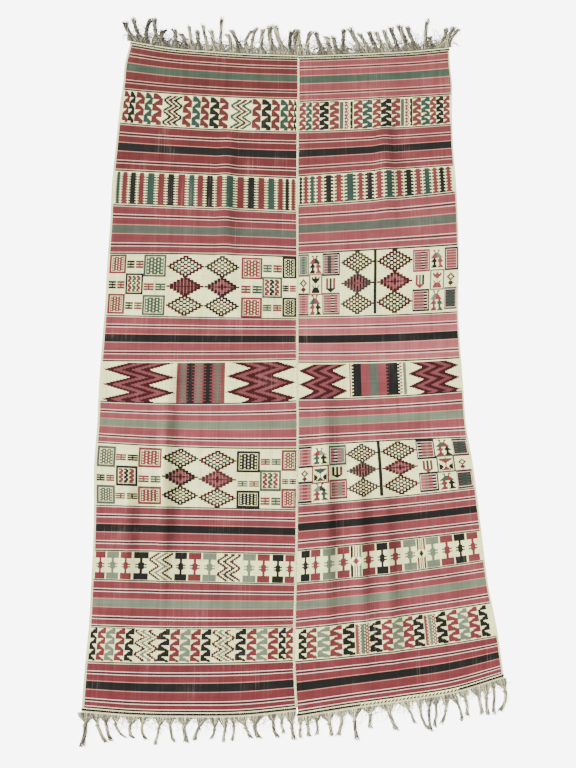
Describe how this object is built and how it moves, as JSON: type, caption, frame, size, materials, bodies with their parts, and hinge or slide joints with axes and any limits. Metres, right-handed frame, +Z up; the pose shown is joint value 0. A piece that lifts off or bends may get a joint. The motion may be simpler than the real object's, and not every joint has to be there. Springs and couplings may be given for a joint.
{
  "type": "ceremonial textile",
  "caption": "Flatwoven wool textile of joined loom widths with banded stripes and motifs, a centre seam, twined ends and a loose warp fringe, laid flat.",
  "frame": {"origin": "on the floor under the middle of the whole textile, fringe included", "axes": "+X across the cloth towards its right edge, +Y along it towards the top end, +Z up"},
  "size_m": [1.4892, 2.915, 0.008],
  "materials": {
    "cloth": "matte ribbed wool flatweave in red, cream, black and green",
    "cream_wool": "matte cream wool",
    "dark_wool": "matte dark brown wool",
    "warp_yarn": "matte undyed grey and cream yarn"
  },
  "bodies": {
    "root": {"panel_left": "cloth", "panel_right": "cloth", "seam": "cream_wool", "twining_top_left": "dark_wool", "twining_top_right": "dark_wool", "twining_bottom_left": "dark_wool", "twining_bottom_right": "dark_wool", "fringe_top_left": "warp_yarn", "fringe_top_right": "warp_yarn", "fringe_bottom_left": "warp_yarn", "fringe_bottom_right": "warp_yarn"}
  },
  "joints": []
}
